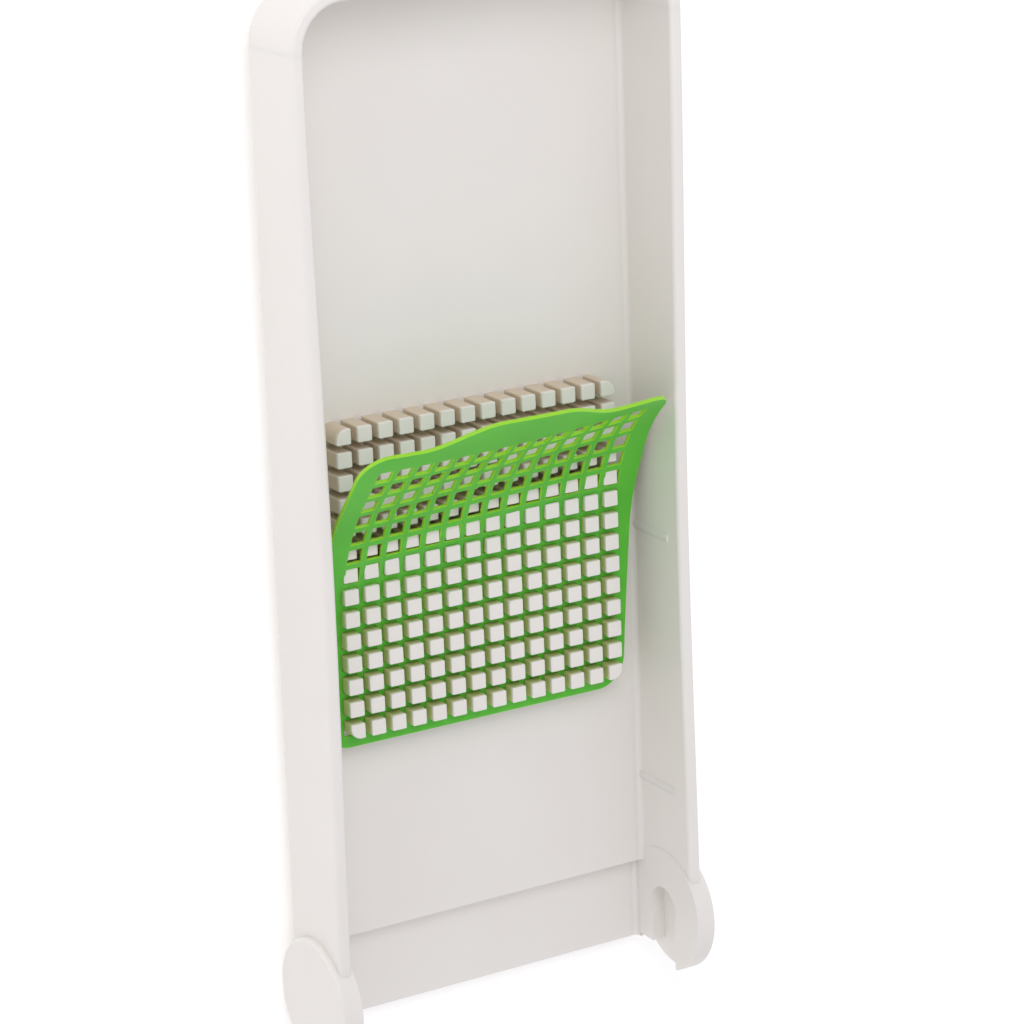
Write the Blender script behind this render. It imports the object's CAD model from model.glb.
import math

import bmesh
import bpy
from mathutils import Matrix, Vector


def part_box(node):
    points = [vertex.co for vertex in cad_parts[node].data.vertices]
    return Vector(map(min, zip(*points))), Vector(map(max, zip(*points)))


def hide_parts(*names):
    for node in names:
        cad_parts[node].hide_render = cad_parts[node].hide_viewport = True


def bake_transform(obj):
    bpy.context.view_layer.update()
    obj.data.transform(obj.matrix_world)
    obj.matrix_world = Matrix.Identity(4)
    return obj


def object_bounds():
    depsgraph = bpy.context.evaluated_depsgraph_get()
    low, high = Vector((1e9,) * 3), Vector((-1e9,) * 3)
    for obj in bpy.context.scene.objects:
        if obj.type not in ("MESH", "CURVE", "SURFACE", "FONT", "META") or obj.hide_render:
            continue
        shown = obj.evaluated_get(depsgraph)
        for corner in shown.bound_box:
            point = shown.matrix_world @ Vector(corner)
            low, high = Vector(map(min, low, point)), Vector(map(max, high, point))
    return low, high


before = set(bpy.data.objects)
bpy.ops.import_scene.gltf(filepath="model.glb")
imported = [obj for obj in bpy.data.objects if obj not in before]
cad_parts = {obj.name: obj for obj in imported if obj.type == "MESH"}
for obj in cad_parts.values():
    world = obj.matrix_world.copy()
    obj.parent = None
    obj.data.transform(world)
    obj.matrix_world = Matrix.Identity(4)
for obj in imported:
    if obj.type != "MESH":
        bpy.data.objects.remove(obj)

MM = 0.001
CAD_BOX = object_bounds()

# ---------------------------------------------------------------- places from the frame
FLOOR_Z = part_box("floor_panel")[1].z
first_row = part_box("pusher_row_01")
last_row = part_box("pusher_row_14")
FIELD_Y = (first_row[0].y + last_row[1].y) / 2
POST_TIP_Z = first_row[1].z

# ---------------------------------------------------------------- cleaning grid sizes, in mm
POSTS = 14
PITCH = 6.0
HOLE = 4.4
THICKNESS = 1.0
HALF_BOTTOM = 43.7               # right half width at the seated edge
HALF_TOP = 47.4                  # left half width, and the right one beyond its taper
TAPER_END = 20.0                 # from the field's middle
TAPER_POWER = 1.3
BOTTOM = 44.4                    # the field's middle to the seated edge
TOP = 47.0                       # the field's middle to the free edge beside the tab
CORNER = 8.0                     # corner radius
TAB_RISE = 7.6                   # pull tab
TAB_HALF_BASE = 30.0
TAB_HALF_TOP = 9.0
BORDER_STEPS = 5                 # mesh steps across the border
BEND_STEPS = 40                  # steps along the bend's curve
EDGE_ROUND = 0.25                # rounding of the sheet's cut edges

# Rest shape of the sheet: the CAD source's curve, a little lower at the seated edge
SEATED_HEIGHT = 6.14
SEATED_SLOPE = 0.0367
LIFT_LINE = -7.9                 # where the sheet leaves its seat, from the field's middle
LIFT_SKEW = 0.211
BEND_LENGTH = 43.3
BEND_ANGLE = 0.813               # radians
BEND_TWIST = 0.0036
BEND_POWER = 1.24
SIDE_DRIFT = 0.0765              # sideways drift of the lifted part
EDGE_SHIFT = 0.84                # sideways shift of its side edges, full after the run
SHIFT_RUN = 15.0
FIELD_HALF = 41.2
PEEL_LINE = 18.0                 # joint between the grid's two bodies


# ---------------------------------------------------------------- helpers
def new_object(name, mesh):
    """A new object in the scene."""
    obj = bpy.data.objects.new(name, mesh)
    bpy.context.scene.collection.objects.link(obj)
    return obj


def smooth(obj, angle):
    """Smooth shading, with sharp edges kept above the angle."""
    mesh = obj.data
    mesh.shade_smooth()
    mesh.set_sharp_from_angle(angle=math.radians(angle))


def apply_modifiers(obj):
    """Turns the object's modifiers into mesh."""
    graph = bpy.context.evaluated_depsgraph_get()
    mesh = bpy.data.meshes.new_from_object(obj.evaluated_get(graph))
    old = obj.data
    obj.modifiers.clear()
    obj.data = mesh
    bpy.data.meshes.remove(old)


MIX_COLOR_INPUTS = (6, 7)        # colour sockets of the mix node
MIX_COLOR_OUTPUT = 2


class Nodes:
    """Short helper for building a node material."""

    def __init__(self, name):
        self.material = bpy.data.materials.new(name)
        self.material.use_nodes = True
        self.tree = self.material.node_tree
        self.shader = self.tree.nodes["Principled BSDF"]
        self.place = self.add("ShaderNodeTexCoord").outputs["Object"]

    def add(self, kind, **settings):
        node = self.tree.nodes.new(kind)
        for key, value in settings.items():
            setattr(node, key, value)
        return node

    def link(self, source, target):
        self.tree.links.new(source, target)

    def noise(self, scale, detail=3.0, roughness=0.5, stretch=None):
        """Noise factor over object space, with an optional stretch per axis."""
        node = self.add("ShaderNodeTexNoise")
        node.inputs["Scale"].default_value = scale
        node.inputs["Detail"].default_value = detail
        node.inputs["Roughness"].default_value = roughness
        source = self.place
        if stretch:
            mapping = self.add("ShaderNodeMapping")
            mapping.inputs["Scale"].default_value = stretch
            self.link(source, mapping.inputs["Vector"])
            source = mapping.outputs["Vector"]
        self.link(source, node.inputs["Vector"])
        return node.outputs["Fac"]

    def ramp(self, factor, stops):
        """Colour ramp over a factor, with two stops."""
        node = self.add("ShaderNodeValToRGB")
        for element, (position, color) in zip(node.color_ramp.elements, stops):
            element.position = position
            element.color = (*color, 1.0)
        self.link(factor, node.inputs["Fac"])
        return node.outputs["Color"]

    def spread(self, factor, low, high):
        """Maps a 0 to 1 factor onto low to high."""
        node = self.add("ShaderNodeMapRange")
        node.inputs["To Min"].default_value = low
        node.inputs["To Max"].default_value = high
        self.link(factor, node.inputs["Value"])
        return node.outputs["Result"]

    def along(self, axis, start, end):
        """0 at start and 1 at end along an object axis, smooth in between."""
        split = self.add("ShaderNodeSeparateXYZ")
        self.link(self.place, split.inputs["Vector"])
        node = self.add("ShaderNodeMapRange", interpolation_type="SMOOTHSTEP")
        node.inputs["From Min"].default_value = start
        node.inputs["From Max"].default_value = end
        self.link(split.outputs[axis], node.inputs["Value"])
        return node.outputs["Result"]

    def mix(self, factor, first, second):
        """Mix of two colours, each a socket or a plain colour."""
        node = self.add("ShaderNodeMix", data_type="RGBA")
        self.link(factor, node.inputs["Factor"])
        for index, color in zip(MIX_COLOR_INPUTS, (first, second)):
            if isinstance(color, tuple):
                node.inputs[index].default_value = (*color, 1.0)
            else:
                self.link(color, node.inputs[index])
        return node.outputs[MIX_COLOR_OUTPUT]

    def bump(self, height, distance, strength=1.0, before=None):
        node = self.add("ShaderNodeBump")
        node.inputs["Distance"].default_value = distance
        node.inputs["Strength"].default_value = strength
        self.link(height, node.inputs["Height"])
        if before is not None:
            self.link(before, node.inputs["Normal"])
        return node.outputs["Normal"]

    def set(self, socket, value):
        self.shader.inputs[socket].default_value = value


# ---------------------------------------------------------------- materials
OLIVE = (0.58, 0.59, 0.26)       # pusher sides, by the seated sheet
BEIGE = (0.66, 0.56, 0.42)       # pusher sides, under the raised flap
OLIVE_FADE = 12.0                # mm before and after the peel line where one becomes the other
BEIGE_FADE = 6.0
STAIN_TOP = 0.2                  # mm below the tip where the stain starts, and where it is full
STAIN_FULL = 1.6
RIM_GREEN = (0.30, 0.62, 0.03)   # light coming out of the sheet's cut edges


def white_plastic(name, base, shade):
    """Node set of a satin moulded plastic: faint clouding, flow marks and a very fine eroded grain."""
    n = Nodes(name)
    cloud = n.noise(22.0, 3.0, 0.55)
    n.link(n.ramp(cloud, [(0.30, shade), (0.70, base)]), n.shader.inputs["Base Color"])
    n.link(n.spread(n.noise(60.0, 4.0, 0.6), 0.36, 0.48), n.shader.inputs["Roughness"])
    wave = n.bump(n.noise(14.0, 2.0, 0.5), 0.0006, 0.35)
    flow = n.bump(n.noise(60.0, 2.0, 0.5, (1.0, 0.12, 1.0)), 0.00012, 0.3, wave)
    grain = n.bump(n.noise(2600.0, 2.0, 0.6), 0.00002, 0.35, flow)
    n.link(grain, n.shader.inputs["Normal"])
    n.set("Specular IOR Level", 0.45)
    n.set("Subsurface Weight", 0.1)
    n.set("Subsurface Radius", (0.004, 0.0035, 0.003))
    n.set("Subsurface Scale", 1.0)
    return n


def pusher_plastic():
    """The tray's plastic, stained by vegetables and the green sheet around it below the clean tips."""
    n = white_plastic("pusher_plastic", (0.82, 0.785, 0.73), (0.795, 0.757, 0.70))
    clean = n.shader.inputs["Base Color"].links[0].from_socket
    split_y = FIELD_Y + PEEL_LINE * MM
    under_flap = n.along("Y", split_y - OLIVE_FADE * MM, split_y + BEIGE_FADE * MM)
    stain = n.mix(under_flap, OLIVE, BEIGE)
    below_tip = n.along("Z", POST_TIP_Z - STAIN_TOP * MM, POST_TIP_Z - STAIN_FULL * MM)
    stained = n.mix(below_tip, clean, stain)
    n.link(stained, n.shader.inputs["Base Color"])
    return n.material


def green_rubber():
    """Soft green moulded sheet: slightly translucent, with a fine matt skin and faint flow lines."""
    n = Nodes("green_rubber")
    cloud = n.noise(45.0, 3.0, 0.55)
    color = n.ramp(cloud, [(0.3, (0.085, 0.45, 0.028)), (0.7, (0.110, 0.52, 0.036))])
    rim = n.add("ShaderNodeAttribute", attribute_name="rim")
    n.link(n.mix(rim.outputs["Fac"], color, RIM_GREEN), n.shader.inputs["Base Color"])
    n.link(n.spread(n.noise(180.0, 3.0, 0.6), 0.34, 0.5), n.shader.inputs["Roughness"])
    ripple = n.bump(n.noise(90.0, 2.0, 0.5), 0.0002, 0.3)
    skin = n.bump(n.noise(2200.0, 2.0, 0.6), 0.00003, 0.3, ripple)
    n.link(skin, n.shader.inputs["Normal"])
    n.set("Specular IOR Level", 0.4)
    n.set("Subsurface Weight", 0.55)
    n.set("Subsurface Radius", (0.0020, 0.0030, 0.0005))
    n.set("Subsurface Scale", 1.0)
    return n.material


def floor_material():
    """Pale matt floor that stays nearly white under the soft light."""
    n = Nodes("studio_floor")
    n.link(
        n.ramp(n.noise(3.0, 2.0, 0.5), [(0.3, (0.90, 0.895, 0.88)), (0.7, (0.92, 0.915, 0.90))]),
        n.shader.inputs["Base Color"],
    )
    n.set("Roughness", 0.8)
    n.set("Emission Color", (1.0, 0.99, 0.97, 1.0))
    n.set("Emission Strength", 0.25)
    return n.material


# ---------------------------------------------------------------- cleaning grid
def post_offset(index):
    """Place of a post or hole across or along the field, from its middle."""
    return (index - (POSTS - 1) / 2) * PITCH


def sheet_point(u, v):
    """Middle of the grid sheet in space, in mm, for a place (u, v) on the flat sheet."""
    rest_tilt = math.atan(SEATED_SLOPE)
    lift = LIFT_LINE + LIFT_SKEW * u
    flat_run = min(v, lift)
    run = flat_run * math.cos(rest_tilt)
    rise = flat_run * math.sin(rest_tilt)
    bent = max(v - lift, 0.0)
    total_bend = BEND_ANGLE + BEND_TWIST * u
    step = bent / BEND_STEPS
    for i in range(BEND_STEPS):
        share = min(step * (i + 0.5) / BEND_LENGTH, 1.0)
        tilt = rest_tilt + total_bend * share ** BEND_POWER
        run += math.cos(tilt) * step
        rise += math.sin(tilt) * step
    lifted = min(bent / SHIFT_RUN, 1.0)
    shift = SIDE_DRIFT * (v - run) + EDGE_SHIFT * ((u / FIELD_HALF) ** 2 - 0.25) * lifted
    return Vector((
        u + shift,
        FIELD_Y / MM + run,
        FLOOR_Z / MM + SEATED_HEIGHT + rise,
    ))


def side_half(u, v):
    """Half width on u's side of the sheet: only the right side tapers towards the seated edge."""
    if u < 0:
        return HALF_TOP
    share = min(max((v + BOTTOM) / (TAPER_END + BOTTOM), 0.0), 1.0)
    return HALF_BOTTOM + (HALF_TOP - HALF_BOTTOM) * share ** TAPER_POWER


def tab_edge(u):
    """Free edge of the sheet at u: straight, with the tab's smooth rise."""
    share = (TAB_HALF_BASE - abs(u)) / (TAB_HALF_BASE - TAB_HALF_TOP)
    share = min(max(share, 0.0), 1.0)
    return TOP + TAB_RISE * share * share * (3 - 2 * share)


def lattice_lines():
    """Line numbers of the hole field: the two sides and the middle of every hole."""
    half = HOLE / 2
    lines = []
    for i in range(POSTS):
        centre = post_offset(i)
        lines += [centre - half, centre - half / 3, centre + half / 3, centre + half]
    return lines


def border_share(index, line_count):
    """Border share of a line: -1 to 0 before the field, 0 inside, 0 to 1 after it."""
    if index < BORDER_STEPS:
        return (index - BORDER_STEPS) / BORDER_STEPS
    if index >= BORDER_STEPS + line_count:
        return (index - BORDER_STEPS - line_count + 1) / BORDER_STEPS
    return 0.0


def round_corner(u, v, half):
    """Draws a border point in, so that the sheet's corners are round."""
    edge_v = TOP if v > 0 else BOTTOM
    cu = half - CORNER
    cv = edge_v - CORNER
    a = (abs(u) - cu) / CORNER
    b = (abs(v) - cv) / CORNER
    if a <= 0 or b <= 0:
        return u, v
    return (
        math.copysign(cu + CORNER * a * math.sqrt(1 - b * b / 2), u),
        math.copysign(cv + CORNER * b * math.sqrt(1 - a * a / 2), v),
    )


def flat_sheet_points():
    """Rows of (u, v) points: the hole field, widened by a border with rounded corners and a tab."""
    lines = lattice_lines()
    count = len(lines) + 2 * BORDER_STEPS

    def nearest_line(index):
        return lines[min(max(index - BORDER_STEPS, 0), len(lines) - 1)]

    def place(i, j):
        share_u = border_share(i, len(lines))
        share_v = border_share(j, len(lines))
        u = nearest_line(i)
        v = nearest_line(j)
        edge_v = TOP if share_v > 0 else -BOTTOM
        v += abs(share_v) * (edge_v - v)
        half = side_half(u, v)
        u += abs(share_u) * (math.copysign(half, u) - u)
        if share_v > 0 and abs(u) < TAB_HALF_BASE:
            v = lines[-1] + share_v * (tab_edge(u) - lines[-1])
        if share_u or share_v:
            return round_corner(u, v, half)
        return u, v

    points = [[place(i, j) for i in range(count)] for j in range(count)]
    return points, lines


def is_hole(index, lines):
    """True if the interval after this line lies inside a hole; each hole has four lines."""
    inner = index - BORDER_STEPS
    return 0 <= inner < len(lines) - 1 and inner % 4 != 3


def mark_rims(mesh):
    """Tells the material which faces are cut edges, from the helper slot, and drops that slot."""
    rim = mesh.attributes.new("rim", "FLOAT", "FACE")
    rim.data.foreach_set("value", [float(face.material_index) for face in mesh.polygons])
    mesh.polygons.foreach_set("material_index", [0] * len(mesh.polygons))
    mesh.materials.pop()


def sheet_mesh():
    """The sheet's middle surface, bent to its rest shape, with its holes left out."""
    points, lines = flat_sheet_points()
    bm = bmesh.new()
    verts = [[bm.verts.new(sheet_point(u, v) * MM) for u, v in row] for row in points]
    count = len(points)
    for j in range(count - 1):
        for i in range(count - 1):
            if is_hole(i, lines) and is_hole(j, lines):
                continue
            bm.faces.new((verts[j][i], verts[j][i + 1], verts[j + 1][i + 1], verts[j + 1][i]))
    loose = [v for v in bm.verts if not v.link_faces]
    bmesh.ops.delete(bm, geom=loose, context="VERTS")
    mesh = bpy.data.meshes.new("cleaning_grid")
    bm.to_mesh(mesh)
    bm.free()
    return mesh


def thicken(grid):
    """Gives the sheet its thickness and softly rounded edges."""
    solid = grid.modifiers.new("thickness", "SOLIDIFY")
    solid.thickness = THICKNESS * MM
    solid.offset = 0.0
    solid.use_even_offset = True
    solid.material_offset_rim = 1
    bevel = grid.modifiers.new("round_edges", "BEVEL")
    bevel.width = EDGE_ROUND * MM
    bevel.segments = 3
    bevel.limit_method = "ANGLE"
    bevel.angle_limit = math.radians(50)
    apply_modifiers(grid)


def make_cleaning_grid(material):
    """The whole flexible grid as one bent, holed and rounded sheet."""
    grid = new_object("cleaning_grid", sheet_mesh())
    grid.data.materials.append(material)
    grid.data.materials.append(material)
    thicken(grid)
    mark_rims(grid.data)
    smooth(grid, 50)
    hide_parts("cleaning_grid_seated", "cleaning_grid_flap")
    middle = sheet_point(0.0, PEEL_LINE) * MM
    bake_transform(grid)
    return grid


# ---------------------------------------------------------------- lid
def finish_lid(tray_material, pusher_material):
    """Gives the moulded lid's CAD nodes their plastic."""
    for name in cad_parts:
        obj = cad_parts[name]
        if name.startswith("cleaning_grid"):
            continue
        material = pusher_material if name.startswith("pusher_row") else tray_material
        obj.data.materials.clear()
        obj.data.materials.append(material)


# ---------------------------------------------------------------- studio
FLOOR_SIZE = 6.0
FLOOR_GAP = 0.0003               # keeps the floor's surface clear of the lid's back
WORLD_COLOR = (0.957, 0.953, 1.0, 1.0)
WORLD_STRENGTH = 0.84
KEY_PLACE = (-0.18, 0.40, 0.50)
KEY_TARGET = (0, 0.08, 0)
KEY_SIZE = 0.35
KEY_POWER = 1.0
KEY_COLOR = (0.98, 0.965, 1.0)
CAMERA_RIGHT = (0.8578, -0.0357, 0.5127)
CAMERA_BACK = (-0.4833, 0.2830, 0.8285)
CAMERA_FROM_FIELD = (-0.4385, 0.2728, 0.7756)    # from the post field's middle, on the floor panel
CAMERA_LENS = 125.98
CAMERA_SENSOR = 36.0


def make_floor(material):
    """Plain pale floor just under the lid."""
    place = (0, 0, CAD_BOX[0][2] - FLOOR_GAP)
    bpy.ops.mesh.primitive_plane_add(size=FLOOR_SIZE, location=place)
    floor = bpy.context.object
    floor.name = "studio_floor"
    floor.data.materials.append(material)


def area_light(name, place, target, size, power, color):
    """Round soft light aimed at a point."""
    data = bpy.data.lights.new(name, "AREA")
    data.shape = "DISK"
    data.size = size
    data.energy = power
    data.color = color
    light = bpy.data.objects.new(name, data)
    bpy.context.scene.collection.objects.link(light)
    light.location = place
    light.rotation_euler = (Vector(target) - Vector(place)).to_track_quat("-Z", "Y").to_euler()


def make_lights():
    """Soft light from all round, and one large key light from above the free end."""
    world = bpy.data.worlds.new("studio")
    bpy.context.scene.world = world
    world.use_nodes = True
    background = world.node_tree.nodes["Background"]
    background.inputs["Color"].default_value = WORLD_COLOR
    background.inputs["Strength"].default_value = WORLD_STRENGTH
    area_light("key", KEY_PLACE, KEY_TARGET, KEY_SIZE, KEY_POWER, KEY_COLOR)


def make_camera():
    """The photograph's viewing angle: from above, left of the lid, turned so that +Y is up."""
    right = Vector(CAMERA_RIGHT).normalized()
    back = Vector(CAMERA_BACK).normalized()
    up = back.cross(right).normalized()
    data = bpy.data.cameras.new("camera")
    data.lens = CAMERA_LENS
    data.sensor_width = CAMERA_SENSOR
    data.clip_start = 0.05
    camera = bpy.data.objects.new("camera", data)
    bpy.context.scene.collection.objects.link(camera)
    place = Vector((0, FIELD_Y, FLOOR_Z)) + Vector(CAMERA_FROM_FIELD)
    camera.matrix_world = Matrix((
        (right.x, up.x, back.x, place.x),
        (right.y, up.y, back.y, place.y),
        (right.z, up.z, back.z, place.z),
        (0, 0, 0, 1),
    ))
    bpy.context.scene.camera = camera


bpy.context.scene.view_settings.view_transform = "Standard"
tray_plastic = white_plastic("white_plastic", (0.82, 0.79, 0.745), (0.80, 0.767, 0.72)).material
finish_lid(tray_plastic, pusher_plastic())
make_cleaning_grid(green_rubber())
make_floor(floor_material())
make_lights()
make_camera()
